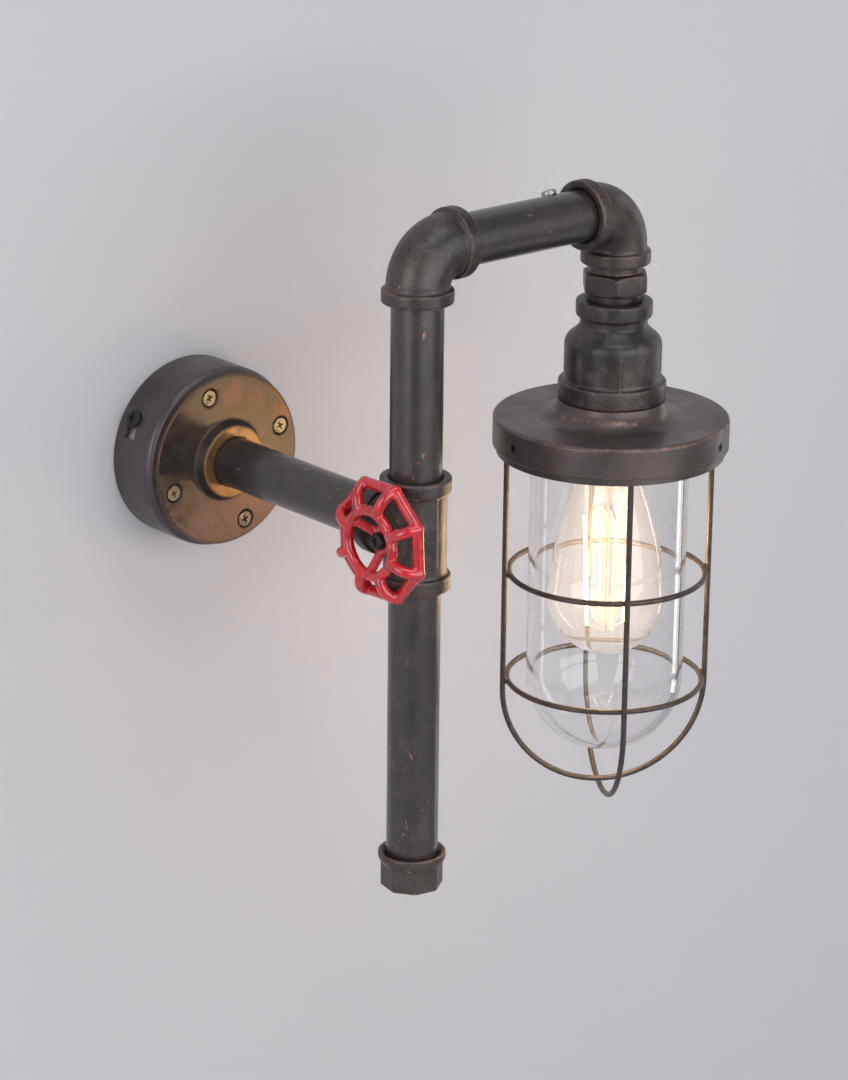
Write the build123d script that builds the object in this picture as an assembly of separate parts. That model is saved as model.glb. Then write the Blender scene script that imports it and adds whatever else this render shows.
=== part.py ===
from build123d import *
import os
from math import cos, pi, radians, sin, sqrt

# Industrial pipe wall light, in millimetres, +Z up. The wall is the plane y = 0, the room is on
# its -Y side, and the origin is the centre of the canopy's back. The wall pipe runs along -Y to
# the upright pipe, the arm runs along +X from the top of the upright, and the lamp hangs from it.

# ---- Layout --------------------------------------------------------------------------------
WALL_REACH = 188.3     # wall to the axis of the upright pipe
ARM_REACH = 135.7      # axis of the upright to axis of the lamp
ARM_RISE = 146.6       # centre of the tee to axis of the arm
BOTTOM_Z = -194.6      # underside of the bottom cap

# ---- Pipe and fittings ---------------------------------------------------------------------
PIPE_R = 13.45         # DN20 steel pipe, 26.9 outside diameter
PIPE_BORE_R = 11.15
THREAD_GAP = 0.05      # radial gap in a screwed joint, whose thread is modelled plain
THREAD_DEPTH = 13.0
SOCKET_R = PIPE_R + THREAD_GAP
FITTING_R = 16.2       # body of a cast elbow or tee
FITTING_BORE_R = 12.0
BAND_R = 18.35         # thick band at a fitting's mouth
BAND_EDGE = 0.9        # rounding of a band's edges
MOUTH_FLARE = 1.2      # flared edge of a threaded mouth
SEAM_WIDTH = 0.9       # casting seam round the tee's middle plane
SEAM_HEIGHT = 0.35
LOCK_SCREW_X = 93.0    # bright screw in the arm
LOCK_SCREW_TILT = -25.0  # leans back, towards the wall
LOCK_SCREW_HEAD_R = 3.9
LOCK_SCREW_HEAD = 2.6
ELBOW_FACE = 26.5      # centre to mouth
ELBOW_DROP_FACE = 28.6  # lower mouth of the front elbow
ELBOW_BAND = 7.3
TEE_FACE = 29.7
TEE_BAND = 8.0

# ---- Bottom cap ----------------------------------------------------------------------------
CAP_LIP_Z = -175.0
CAP_LIP_R = 17.7
CAP_WAIST_R = 16.0
CAP_WAIST_Z = -181.5
CAP_CORNER_R = 16.4
CAP_SIDES = 8
CAP_CORNER_TURN = 11.5  # first corner, from +X towards +Y
CAP_SOCKET_Z = -189.0
CAP_MOUTH_FLARE = 2.4
CAP_CHAMFER = 0.8

# ---- Canopy and flange ---------------------------------------------------------------------
CANOPY_R = 49.3
CANOPY_DEPTH = 31.0
CANOPY_SHEET = 1.5
CANOPY_EDGE = 4.0
FLANGE_R = 47.1
FLANGE_THICK = 4.4
FLANGE_HUB_BASE_R = 22.2
FLANGE_HUB_R = 19.3
FLANGE_HUB = 5.8
FLANGE_STOP = 2.5       # web behind the wall pipe's end
FLANGE_SCREW_CIRCLE_R = 38.0
FLANGE_SCREW_TURNS = (18.0, 108.0, 198.0, 288.0)
FLANGE_SCREW_R = 2.4
FLANGE_SCREW_LENGTH = 12.0
SCREW_CLEARANCE = 0.1
HEAD_R = 4.1
HEAD_SINK = 0.3         # the head lies this far under the flange's face
COUNTERSINK_R = 5.2
NUT_FLATS = 8.0
NUT_HEIGHT = 4.0

# ---- Bracket and wiring in the canopy --------------------------------------------------------
BRACKET_TURN = 30.0     # the bracket's axis climbs this much towards -X
BRACKET_WIDTH = 24.0
BRACKET_SHEET = 2.0
BRACKET_HALF = 46.2     # outer faces of the two turned ears
BRACKET_EAR = 16.0
WALL_HOLE_R = 2.6
WALL_HOLE_CIRCLE_R = 30.0
SIDE_SCREW_Y = -10.6
SIDE_SCREW_R = 2.45     # M5
SIDE_SCREW_HEAD_R = 4.75
SIDE_SCREW_HEAD = 2.4
SLOT_TURN = 4.65         # middle of the levelling slot, below the side screw
SLOT_LENGTH = 13.6
SLOT_WIDTH = 8.0
BLOCK_SIZE = (26.0, 13.0, 13.0)
BLOCK_PITCH = 8.0
BLOCK_BORE_R = 1.3
BLOCK_BORE = 6.0
BLOCK_EDGE = 1.0
EARTH_X = 20.5
EARTH_SCREW_Z = -3.5
EARTH_LEAD_Z = 2.4
EARTH_LEAD_BEND = 5.0
LUG_SHEET = 0.8
LUG_TONGUE = (4.0, 5.0)
GROMMET_R = 9.0
GROMMET_LIP_R = 11.2
GROMMET_LIP = 2.0
CABLE_R = 2.75
CABLE_BEND = 27.0
CABLE_START_Y = -26.5
CABLE_END_Z = 84.0
CORE_R = 1.0
CORE_SPREAD = 1.35      # cores from the cable's axis
CORE_BEND = 5.5
CORE_CORNERS_Y = (-22.9, -19.0)

# ---- Handwheel -----------------------------------------------------------------------------
WHEEL_RIM_X = -22.3     # plane of the eight rim corners
WHEEL_RIM_R = 30.4
WHEEL_RING_X = -29.9    # plane of the round inner ring
WHEEL_RING_R = 17.0
WHEEL_RIM_BAR_R = 3.0
WHEEL_RING_BAR_R = 2.7
WHEEL_CORNER_R = 3.3
WHEEL_LOBES = 8
WHEEL_LOBE_TURN = 19.4  # first corner, from +Z towards -Y
WHEEL_SPOKES = 3
WHEEL_SPOKE_TURN = 63.0
WHEEL_SPOKE_R = 2.4
WHEEL_SPOKE_ROOT = (6.1, -22.1)     # radius and X where a spoke leaves the hub
WHEEL_RIB_CREST = (25.3, -29.2)     # radius and X of the bulge in each rib
WHEEL_RIB_R = 2.9
WHEEL_KNOT_R = 3.0      # swelling where a spoke meets the ring
HUB_R = 7.3
HUB_BACK_X = -20.0
HUB_FRONT_X = -23.6
STUD_R = 3.5
STUD_SHANK_R = 3.0
STUD_COLLAR_R = 5.2
STUD_SEAT_X = -19.7
STUD_END_X = -23.9
RUNNING_GAP = 0.06
BOSS_R = 6.6
BOSS_X = -18.2
BOSS_ROOT_X = -12.0
WASHER_R = 4.6
WASHER_SHEET = 0.7
WHEEL_SCREW_R = 1.95
WHEEL_SCREW_HEAD_R = 4.2
WHEEL_SCREW_HEAD = 2.0

# ---- Hex nipple and reducer ------------------------------------------------------------------
HEX_TOP_Z = 113.4
HEX_BOTTOM_Z = 102.7
HEX_FLATS = 32.0
HEX_TURN = -9.4         # one corner, from +X towards +Y
NIPPLE_BORE_R = 10.0
REDUCER_TOP_Z = 98.3
REDUCER_TOP_R = 20.1
REDUCER_TOP_BAND_Z = 91.1
REDUCER_NECK_R = 17.7
REDUCER_NECK_Z = (89.5, 84.8)
REDUCER_FLARE = ((20.3, 82.0), (23.1, 79.7))      # hollow curve out of the neck
REDUCER_SHOULDER = ((24.9, 77.3), (25.6, 74.3))   # round curve into the body
REDUCER_MOUTH_FLARE = 2.4
REDUCER_BODY_R = 25.6
REDUCER_BODY_BORE_R = 22.0
REDUCER_BAND_R = 28.4
REDUCER_BAND_Z = 55.3
REDUCER_SOCKET_Z = 57.2
REDUCER_HOLLOW_Z = (73.3, 82.3)
REDUCER_RIB = (2.4, 1.8, 18.0)
REDUCER_RIB_TURNS = (-87.0, -35.0, 93.0, 145.0)

# ---- Shade cap and cage ----------------------------------------------------------------------
CAP_R = 62.3
CAP_SEAT_Z = 44.8       # underside of the reducer
CAP_TOP_Z = 35.7
CAP_RIM_Z = 19.3
CAP_SHEET = 2.0
CAP_FLARE = ((32.4, 38.2), (41.4, 35.7))          # from the boss out to the disc
CAP_INSIDE_FLARE = ((28.5, 36.3), (25.0, 40.8))
SPIGOT_R = 23.9
SPIGOT_CUP_R = 21.8
SPIGOT_BORE_R = 20.2
SPIGOT_TOP_Z = 67.0
COLLAR_R = 45.0
COLLAR_Z = 21.0
RIM_SCREW_Z = 26.6
RIM_SCREW_TURNS = (-98.0, 22.0, 142.0)
RIM_SCREW_R = 1.4
RIM_SCREW_HEAD_R = 2.3
RIM_SCREW_SINK = 0.5    # the head lies this far under the rim's face
HOOP_R = 60.2
HOOP_SHEET = 1.8
HOOP_Z = 15.4
HOOP_TOP_Z = 32.0
HOOP_LIP_R = 52.6
HOOP_LIP = 1.6
CAGE_WIRE_R = 1.5
CAGE_R = 55.2           # centreline of the upright wires
CAGE_RING_Z = (-51.6, -112.0)
SIDE_LOOP_TURN = -122.5  # one upright wire, from -Y towards +X
FRONT_LOOP_TURN = -32.5
SIDE_LOOP_BEND_Z = -116.0
FRONT_LOOP_BEND_Z = -121.0  # its wire passes under the side loop's

# ---- Glass, bulb and lampholder --------------------------------------------------------------
JAR_R = 42.0
JAR_WALL = 3.6
JAR_TOP_Z = 31.2
JAR_GAP = 0.08          # radial gap between the jar and the cap's collar
JAR_DOME_Z = -109.0
GASKET_R = (38.6, 42.0)
GASKET_Z = (31.5, 33.7)
BULB_R = 31.5
BULB_WIDEST_Z = -65.0
BULB_WALL = 0.8
BULB_NECK_R = 12.5
BULB_THROAT = (14.6, 6.0)   # radius and height where the neck opens
BULB_SHOULDER = (26.4, -29.0)
BASE_R = 13.05          # E27 screw base
BASE_Z = (20.0, 41.0)
BASE_SHEET = 0.4
BASE_GAP = 0.08         # radial gap between the base and its brass shell
BULB_CONTACT_R = 4.5
BULB_CONTACT_Z = (45.5, 47.2)
BULB_NECK_TOP_Z = 23.0
STEM_R = 3.2
STEM_ROD_R = 1.1
STEM_FLARE_R = 11.65
STEM_FLARE_Z = (21.0, 18.5)
STEM_CURVE = ((4.4, 12.0), (3.2, 0.0))
STEM_ROD_TOP_Z = -18.0
STEM_Z = (-14.0, -86.0)
FILAMENTS = 4
FILAMENT_R = 0.95
FILAMENT_TOP = (13.0, -19.0)    # distance from the axis, and height
FILAMENT_BOTTOM = (10.2, -81.0)
FILAMENT_TURN = 65.0
LEAD_WIRE_R = 0.35
LEAD_WIRE_REACH = 0.9   # a wire's root lies this far above the stick's end
HOLDER_R = 19.5
HOLDER_MOUTH_Z = 13.0
HOLDER_FLOOR_Z = (49.0, 52.0)
HOLDER_ROOF_Z = 58.0
HOLDER_TOP_Z = 63.0
HOLDER_CONE_R = 12.5
HOLDER_SHEET = 2.0
SHELL_R = 15.0
SHELL_Z = (21.0, 46.0)
TONGUE_SIZE = (14.0, 5.0, 0.8)
TONGUE_TIP_R = 3.0
TONGUE_GAP = 0.3        # above the bulb's contact
STUD_TUBE_R = 5.0       # M10 hollow stud
STUD_TUBE_BORE_R = 3.4
STUD_TUBE_Z = (58.5, 75.0)
STUD_NUT_FLATS = 14.0
STUD_NUT_HEIGHT = 4.0

# ---- Places --------------------------------------------------------------------------------
LAMP = Pos(ARM_REACH, -WALL_REACH, 0)
UPRIGHT = Pos(0, -WALL_REACH, 0)
ON_END = (Align.CENTER, Align.CENTER, Align.MIN)


# ---- Building blocks -----------------------------------------------------------------------
def rod(radius, low, high):
    """Round bar along Z between two heights."""
    return Pos(0, 0, low) * Cylinder(radius, high - low, align=ON_END)


def tube(outer, inner, low, high):
    return rod(outer, low, high) - rod(inner, low, high)


def prism(corner_radius, sides, turn, low, high):
    outline = Rot(0, 0, turn) * RegularPolygon(corner_radius, sides)
    return Pos(0, 0, low) * extrude(outline, high - low)


def nut(flats, bore_radius, low, high):
    return prism(flats / sqrt(3), 6, 0, low, high) - rod(bore_radius, low, high)


def turned(start, *steps):
    """Solid of revolution about Z from (radius, height) points. A pair of points is the middle
    and the end of an arc."""
    edges = []
    here = start
    for step in (*steps, start):
        curved = isinstance(step[0], tuple)
        end = step[1] if curved else step
        a = (here[0], 0, here[1])
        b = (end[0], 0, end[1])
        if curved:
            middle = (step[0][0], 0, step[0][1])
            edges.append(ThreePointArc(a, middle, b))
        else:
            edges.append(Line(a, b))
        here = end
    return revolve(make_face(edges), Axis.Z)


def swept(path, radius):
    """Round bar along a path."""
    return sweep(Plane(origin=path @ 0, z_dir=path % 0) * Circle(radius), path=path)


def bar(a, b, radius):
    """Round bar from one point to another."""
    run = Vector(*b) - Vector(*a)
    return Plane(origin=a, z_dir=run) * Cylinder(radius, run.length, align=ON_END)


def band(radius, low, high):
    """Thick band with rounded edges."""
    ring = rod(radius, low, high)
    return fillet(ring.edges().filter_by(GeomType.CIRCLE), BAND_EDGE)


def out_of_wall(solid):
    """Turns a part drawn up +Z so that it points into the room, along -Y."""
    return Rot(90, 0, 0) * solid


def to_the_left(solid):
    """Turns a part drawn up +Z so that it points along -X, and its own +X points up."""
    return Rot(0, -90, 0) * solid


def on_bracket(solid):
    """Turns a part drawn beside a level bracket to the bracket's slanted axis."""
    return Rot(0, BRACKET_TURN, 0) * solid


def lamp_turn(turn):
    """Turns a part drawn on the +X side of the lamp's axis to a direction from -Y towards +X."""
    return Rot(0, 0, turn - 90)


def cross_recess(size, depth):
    """Cross-head drive, to be cut down from z = 0."""
    arm = size * 0.24
    return Box(size, arm, 2 * depth) + Box(arm, size, 2 * depth)


def pan_screw(shank_radius, tip, seat, head_radius, head_height):
    """Round-headed cross-head screw along +Z, from its tip up to its seat and head."""
    top = seat + head_height
    head = rod(head_radius, seat, top)
    head = fillet(head.edges().sort_by(Axis.Z)[-1], 0.45 * head_height)
    recess = Pos(0, 0, top) * cross_recess(1.1 * head_radius, 0.55 * head_height)
    return rod(shank_radius, tip, seat + 0.2 * head_height) + head - recess


def mouth(face, flare=MOUTH_FLARE):
    """Threaded socket with a flared edge, to be cut into a fitting below its face."""
    edge = Pos(0, 0, face - flare) * Cone(SOCKET_R, SOCKET_R + flare, flare, align=ON_END)
    return rod(SOCKET_R, face - THREAD_DEPTH, face) + edge


# ---- At the wall ---------------------------------------------------------------------------
def canopy():
    """Pressed cup that covers the bracket. Each side slot lets the light be turned level."""
    front = CANOPY_DEPTH - CANOPY_SHEET
    cup = rod(CANOPY_R, 0, CANOPY_DEPTH)
    cup = fillet(cup.edges().sort_by(Axis.Z)[-1], CANOPY_EDGE)
    hollow = rod(CANOPY_R - CANOPY_SHEET, -1, front)
    hollow = fillet(hollow.edges().sort_by(Axis.Z)[-1], CANOPY_EDGE - CANOPY_SHEET)
    cup = cup - hollow - rod(GROMMET_R, 0, CANOPY_DEPTH + 1)
    for turn in FLANGE_SCREW_TURNS:
        place = Rot(0, 0, turn) * Pos(FLANGE_SCREW_CIRCLE_R, 0, 0)
        cup -= place * rod(FLANGE_SCREW_R + SCREW_CLEARANCE, 0, CANOPY_DEPTH + 1)
    cup = out_of_wall(cup)
    slot = Pos(-CANOPY_R, SIDE_SCREW_Y, 0) * Box(4 * CANOPY_SHEET, SLOT_WIDTH, SLOT_LENGTH)
    for side in (0, 180):
        cup -= Rot(0, BRACKET_TURN - SLOT_TURN + side, 0) * slot
    return cup


def floor_flange():
    face = CANOPY_DEPTH + FLANGE_THICK
    top = face + FLANGE_HUB
    edge = 0.8
    plate = turned(
        (PIPE_BORE_R, CANOPY_DEPTH),
        (FLANGE_R, CANOPY_DEPTH),
        (FLANGE_R, face - edge),
        ((FLANGE_R - 0.3 * edge, face - 0.3 * edge), (FLANGE_R - edge, face)),
        (FLANGE_HUB_BASE_R, face),
        (FLANGE_HUB_R + edge, top - edge),
        ((FLANGE_HUB_R + 0.6 * edge, top - 0.25 * edge), (FLANGE_HUB_R - 0.3 * edge, top)),
        (SOCKET_R, top),
        (SOCKET_R, CANOPY_DEPTH + FLANGE_STOP),
        (PIPE_BORE_R, CANOPY_DEPTH + FLANGE_STOP),
    )
    hole_r = FLANGE_SCREW_R + SCREW_CLEARANCE
    sink = COUNTERSINK_R - hole_r
    hole = rod(hole_r, 0, face) + Pos(0, 0, face - sink) * Cone(hole_r, COUNTERSINK_R, sink, align=ON_END)
    for turn in FLANGE_SCREW_TURNS:
        plate -= Rot(0, 0, turn) * Pos(FLANGE_SCREW_CIRCLE_R, 0, 0) * hole
    return out_of_wall(plate)


def flange_screws():
    """Four countersunk cross-head screws, each seated on its countersink."""
    face = CANOPY_DEPTH + FLANGE_THICK
    head = face - HEAD_SINK
    rest = face - (COUNTERSINK_R - HEAD_R)
    screw = turned(
        (0, head),
        (HEAD_R, head),
        (HEAD_R, rest),
        (FLANGE_SCREW_R, rest - (HEAD_R - FLANGE_SCREW_R)),
        (FLANGE_SCREW_R, head - FLANGE_SCREW_LENGTH),
        (0, head - FLANGE_SCREW_LENGTH),
    )
    screw -= Pos(0, 0, head) * cross_recess(HEAD_R, 1.4)
    return around_flange(screw)


def flange_nuts():
    seat = CANOPY_DEPTH - CANOPY_SHEET
    return around_flange(nut(NUT_FLATS, FLANGE_SCREW_R + THREAD_GAP, seat - NUT_HEIGHT, seat))


def around_flange(solid):
    places = [Rot(0, 0, turn) * Pos(FLANGE_SCREW_CIRCLE_R, 0, 0) for turn in FLANGE_SCREW_TURNS]
    return Compound([out_of_wall(place * solid) for place in places])


def wall_bracket():
    """Steel strip on the wall, with an ear turned into the room at each end."""
    strip = Pos(0, -BRACKET_SHEET / 2, 0) * Box(2 * BRACKET_HALF, BRACKET_SHEET, BRACKET_WIDTH)
    ear = Box(BRACKET_SHEET, BRACKET_EAR, BRACKET_WIDTH)
    for side in (-1, 1):
        strip += Pos(side * (BRACKET_HALF - BRACKET_SHEET / 2), -BRACKET_EAR / 2, 0) * ear
        strip -= Pos(side * WALL_HOLE_CIRCLE_R, 0, 0) * out_of_wall(rod(WALL_HOLE_R, -1, BRACKET_SHEET + 1))
    strip -= Pos(0, SIDE_SCREW_Y, 0) * to_the_left(rod(SIDE_SCREW_R + THREAD_GAP, -CANOPY_R, CANOPY_R))
    screw_hole = rod(SIDE_SCREW_R + THREAD_GAP, -1, BRACKET_SHEET + 1)
    strip -= Pos(EARTH_X, 0, EARTH_SCREW_Z) * out_of_wall(screw_hole)
    return on_bracket(strip)


def side_screws():
    """One screw on each side, through the canopy's slot into the bracket's ear."""
    tip = BRACKET_HALF - 2 * BRACKET_SHEET
    screw = pan_screw(SIDE_SCREW_R, tip, CANOPY_R + THREAD_GAP, SIDE_SCREW_HEAD_R, SIDE_SCREW_HEAD)
    left = Pos(0, SIDE_SCREW_Y, 0) * to_the_left(screw)
    return Compound([on_bracket(left), on_bracket(Rot(0, 180, 0) * left)])


def terminal_block():
    """Three-way block: wire bores from the front, screw bores from above, one bore in its side."""
    width, depth, height = BLOCK_SIZE
    front = BRACKET_SHEET + depth
    screw_y = BLOCK_BORE / 2 - front
    block = Pos(0, -BRACKET_SHEET - depth / 2, 0) * Box(width, depth, height)
    block = fillet(block.edges().filter_by(Axis.Y), BLOCK_EDGE)
    for x in (-BLOCK_PITCH, 0, BLOCK_PITCH):
        block -= Pos(x, 0, 0) * out_of_wall(rod(BLOCK_BORE_R, front - BLOCK_BORE, front + 1))
        block -= Pos(x, screw_y, 0) * rod(BLOCK_BORE_R, 0, height)
    side = Pos(width / 2, -BRACKET_SHEET - depth / 2, EARTH_LEAD_Z) * Rot(0, -90, 0)
    block -= side * rod(BLOCK_BORE_R, -1, BLOCK_BORE / 2)
    return on_bracket(block)


def terminal_screws():
    """One slotted clamping screw over each wire bore of the block."""
    depth, height = BLOCK_SIZE[1:]
    top = height / 2 - 0.5
    slot = Pos(0, 0, top) * Box(3 * BLOCK_BORE_R, 0.6, 2.0)
    screw = rod(BLOCK_BORE_R - THREAD_GAP, CORE_R + THREAD_GAP, top) - slot
    screw_y = BLOCK_BORE / 2 - BRACKET_SHEET - depth
    return Compound([on_bracket(Pos(x, screw_y, 0) * screw) for x in (-BLOCK_PITCH, 0, BLOCK_PITCH)])


def earth_screw():
    seat = BRACKET_SHEET + LUG_SHEET
    screw = pan_screw(SIDE_SCREW_R, 0.2, seat, SIDE_SCREW_HEAD_R, SIDE_SCREW_HEAD)
    return on_bracket(Pos(EARTH_X, 0, EARTH_SCREW_Z) * out_of_wall(screw))


def earth_lug():
    """Ring tag under the earth screw, with a tongue that the earth lead is crimped to."""
    width, length = LUG_TONGUE
    bottom = BRACKET_SHEET
    ring = tube(SIDE_SCREW_HEAD_R, SIDE_SCREW_R + THREAD_GAP, bottom, bottom + LUG_SHEET)
    tongue = Pos(0, EARTH_LEAD_Z - EARTH_SCREW_Z, bottom + LUG_SHEET / 2) * Box(width, length, LUG_SHEET)
    return on_bracket(Pos(EARTH_X, 0, EARTH_SCREW_Z) * out_of_wall(ring + tongue))


def earth_lead():
    """Lead from the block's side bore to the earth tag."""
    width, depth = BLOCK_SIZE[:2]
    y = -BRACKET_SHEET - depth / 2
    points = (
        (width / 2 - 2, y, EARTH_LEAD_Z),
        (EARTH_X, y, EARTH_LEAD_Z),
        (EARTH_X, -BRACKET_SHEET - LUG_SHEET, EARTH_LEAD_Z),
    )
    return on_bracket(lead("earth_lead", points, EARTH_LEAD_BEND, CORE_R))


def cable_grommet():
    """Rubber bush in the canopy's front, round the inner cable."""
    outside = CANOPY_DEPTH
    inside = CANOPY_DEPTH - CANOPY_SHEET
    bush = rod(GROMMET_R, inside, outside)
    bush += rod(GROMMET_LIP_R, inside - GROMMET_LIP, inside)
    bush += rod(PIPE_BORE_R - 0.1, outside, outside + 0.6 * FLANGE_STOP)
    return out_of_wall(bush - rod(CABLE_R + THREAD_GAP, 0, WALL_REACH))


# ---- Wiring through the pipes --------------------------------------------------------------
def lead(name, points, bend, radius):
    """Wire or cable along a route of straight runs and arcs, with its figures printed."""
    path = FilletPolyline(*points, radius=bend)
    solid = swept(path, radius)
    share = solid.volume / (pi * radius**2 * path.length)
    print(f"{name}: bend radius {bend}, length {path.length:.1f}, volume / (section x length) {share:.4f}")
    return solid


def inner_cable():
    """Sheathed cable from the canopy through every pipe and fitting to the lampholder's stud."""
    points = (
        (0, CABLE_START_Y, 0),
        (0, -WALL_REACH, 0),
        (0, -WALL_REACH, ARM_RISE),
        (ARM_REACH, -WALL_REACH, ARM_RISE),
        (ARM_REACH, -WALL_REACH, CABLE_END_Z),
    )
    return lead("inner_cable", points, CABLE_BEND, CABLE_R)


def core(side):
    """One conductor: from the cable's end into the block, and from its other end to the holder."""
    front = -BRACKET_SHEET - BLOCK_SIZE[1]
    start_x = side * CORE_SPREAD
    end_x = side * BLOCK_PITCH
    points = (
        (start_x, CABLE_START_Y, 0),
        (start_x, CORE_CORNERS_Y[0], 0),
        (end_x, CORE_CORNERS_Y[1], 0),
        (end_x, front + BLOCK_BORE - 0.5, 0),
    )
    tail = on_bracket(lead("core tail", points, CORE_BEND, CORE_R))
    drop = LAMP * Pos(start_x, 0, 0) * rod(CORE_R, HOLDER_FLOOR_Z[1] + 0.4, CABLE_END_Z)
    return Compound([tail, drop])


# ---- Pipes and fittings ----------------------------------------------------------------------
def wall_pipe():
    start = CANOPY_DEPTH + FLANGE_STOP
    end = WALL_REACH - TEE_FACE + THREAD_DEPTH
    return out_of_wall(tube(PIPE_R, PIPE_BORE_R, start, end))


def upper_pipe():
    low = TEE_FACE - THREAD_DEPTH
    return UPRIGHT * tube(PIPE_R, PIPE_BORE_R, low, ARM_RISE - ELBOW_FACE + THREAD_DEPTH)


def lower_pipe():
    return UPRIGHT * tube(PIPE_R, PIPE_BORE_R, CAP_SOCKET_Z, THREAD_DEPTH - TEE_FACE)


def top_pipe():
    end = ELBOW_FACE - THREAD_DEPTH
    pipe = to_the_left(tube(PIPE_R, PIPE_BORE_R, end - ARM_REACH, -end))
    pipe = Pos(0, -WALL_REACH, ARM_RISE) * pipe
    return pipe - lock_screw_place() * rod(SIDE_SCREW_R + THREAD_GAP, 0, 2 * PIPE_R)


def lock_screw_place():
    return Pos(LOCK_SCREW_X, -WALL_REACH, ARM_RISE) * Rot(LOCK_SCREW_TILT, 0, 0)


def arm_lock_screw():
    """Small bright screw in the arm, beside the front elbow."""
    return lock_screw_place() * pan_screw(
        SIDE_SCREW_R, PIPE_BORE_R - 1, PIPE_R, LOCK_SCREW_HEAD_R, LOCK_SCREW_HEAD
    )


def tee():
    """Cast tee: run along Z, branch along +Y to the wall pipe, and a boss on its -X side."""
    collar = band(BAND_R, TEE_FACE - TEE_BAND, TEE_FACE)
    bore = rod(FITTING_BORE_R, 0, TEE_FACE)
    seam_r = FITTING_R + SEAM_HEIGHT
    body = rod(FITTING_R, -TEE_FACE + 1, TEE_FACE - 1)
    body += Box(SEAM_WIDTH, 2 * seam_r, 2 * (TEE_FACE - 1))
    for port in (Rot(0, 0, 0), Rot(-90, 0, 0), Rot(180, 0, 0)):
        body += port * collar
    body += Rot(-90, 0, 0) * rod(FITTING_R, 0, TEE_FACE - 1)
    body += Pos(0, TEE_FACE / 2, 0) * Box(SEAM_WIDTH, TEE_FACE - 1, 2 * seam_r)
    body += to_the_left(rod(BOSS_R, 0, -BOSS_X))
    for port in (Rot(0, 0, 0), Rot(-90, 0, 0), Rot(180, 0, 0)):
        body -= port * bore
        body -= port * mouth(TEE_FACE)
    body -= to_the_left(rod(STUD_SHANK_R + THREAD_GAP, 0, -BOSS_X + 1))
    return UPRIGHT * body


def elbow(drop_face):
    """Cast elbow with mouths along +X and -Z, about its centre at the origin."""
    ports = ((Rot(0, 90, 0), ELBOW_FACE), (Rot(180, 0, 0), drop_face))
    path = FilletPolyline((ELBOW_FACE, 0, 0), (0, 0, 0), (0, 0, -drop_face), radius=ELBOW_FACE - ELBOW_BAND)
    body = swept(path, FITTING_R)
    for port, face in ports:
        body += port * band(BAND_R, face - ELBOW_BAND, face)
    body -= swept(path, FITTING_BORE_R)
    for port, face in ports:
        body -= port * mouth(face)
    return body


def rear_elbow():
    return Pos(0, -WALL_REACH, ARM_RISE) * elbow(ELBOW_FACE)


def front_elbow():
    return Pos(ARM_REACH, -WALL_REACH, ARM_RISE) * Rot(0, 0, 180) * elbow(ELBOW_DROP_FACE)


def bottom_cap():
    """Cast cap: a round lip that narrows to an eight-sided body."""
    lip = 0.7
    waist_overlap = 5
    lip_land = 3.2
    body = prism(CAP_CORNER_R, CAP_SIDES, CAP_CORNER_TURN, BOTTOM_Z, CAP_WAIST_Z + waist_overlap)
    body = chamfer(body.edges().group_by(Axis.Z)[0], CAP_CHAMFER)
    body += turned(
        (0, CAP_LIP_Z),
        (CAP_LIP_R - lip, CAP_LIP_Z),
        ((CAP_LIP_R - 0.3 * lip, CAP_LIP_Z - 0.3 * lip), (CAP_LIP_R, CAP_LIP_Z - lip)),
        (CAP_LIP_R, CAP_LIP_Z - lip_land),
        (CAP_WAIST_R, CAP_WAIST_Z),
        (0, CAP_WAIST_Z),
    )
    flare_z = CAP_LIP_Z - CAP_MOUTH_FLARE
    body -= rod(SOCKET_R, CAP_SOCKET_Z, CAP_LIP_Z)
    body -= Pos(0, 0, flare_z) * Cone(SOCKET_R, SOCKET_R + CAP_MOUTH_FLARE, CAP_MOUTH_FLARE, align=ON_END)
    return UPRIGHT * body


# ---- Handwheel -----------------------------------------------------------------------------
def wheel_point(turn, radius, x):
    """Point about the handwheel's axis, turning from +Z towards -Y."""
    return (x, -WALL_REACH - radius * sin(radians(turn)), radius * cos(radians(turn)))


def handwheel_rib(turn):
    """Curved rib from the round ring, over its crest, back to one corner of the rim."""
    crest = wheel_point(turn, *WHEEL_RIB_CREST)
    ring = wheel_point(turn, WHEEL_RING_R, WHEEL_RING_X)
    return swept(Wire([ThreePointArc(ring, crest, wheel_point(turn, WHEEL_RIM_R, WHEEL_RIM_X))]), WHEEL_RIB_R)


def handwheel_rim():
    """Eight straight bars between rounded corners, with a curved rib to each corner."""
    step = 360 / WHEEL_LOBES
    bars = []
    corners = []
    ribs = []
    for i in range(WHEEL_LOBES):
        turn = WHEEL_LOBE_TURN + i * step
        corner = wheel_point(turn, WHEEL_RIM_R, WHEEL_RIM_X)
        bars.append(bar(corner, wheel_point(turn + step, WHEEL_RIM_R, WHEEL_RIM_X), WHEEL_RIM_BAR_R))
        corners.append(Pos(*corner) * Sphere(WHEEL_CORNER_R))
        ribs.append(handwheel_rib(turn))
    return bars[0] + (bars[1:] + corners) + ribs


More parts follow.
